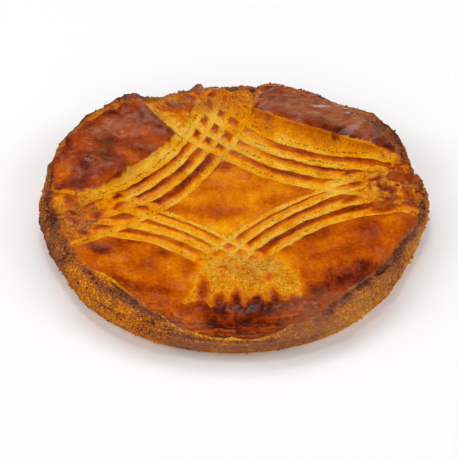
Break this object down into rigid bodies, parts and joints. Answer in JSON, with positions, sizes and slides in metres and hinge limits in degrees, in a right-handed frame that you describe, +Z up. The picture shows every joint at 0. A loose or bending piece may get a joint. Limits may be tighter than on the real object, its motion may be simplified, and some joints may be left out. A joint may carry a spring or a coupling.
{
  "type": "butter cake",
  "caption": "Round low butter cake, flat underneath, with a glazed dished top scored by crossing bows of fork grooves, puffed crust between them and a crumbly wall.",
  "frame": {"origin": "middle of the flat base", "axes": "+Z up out of the top; -Y is the near edge of the picture, where the two near bows of grooves cross"},
  "size_m": [0.2007, 0.1981, 0.0313],
  "materials": {
    "crust": "egg-glazed baked crust: orange-brown to dark brown satin skin, pale golden crumb in the grooves, rough golden-brown wall"
  },
  "bodies": {
    "root": {"cake": "crust"}
  },
  "joints": []
}
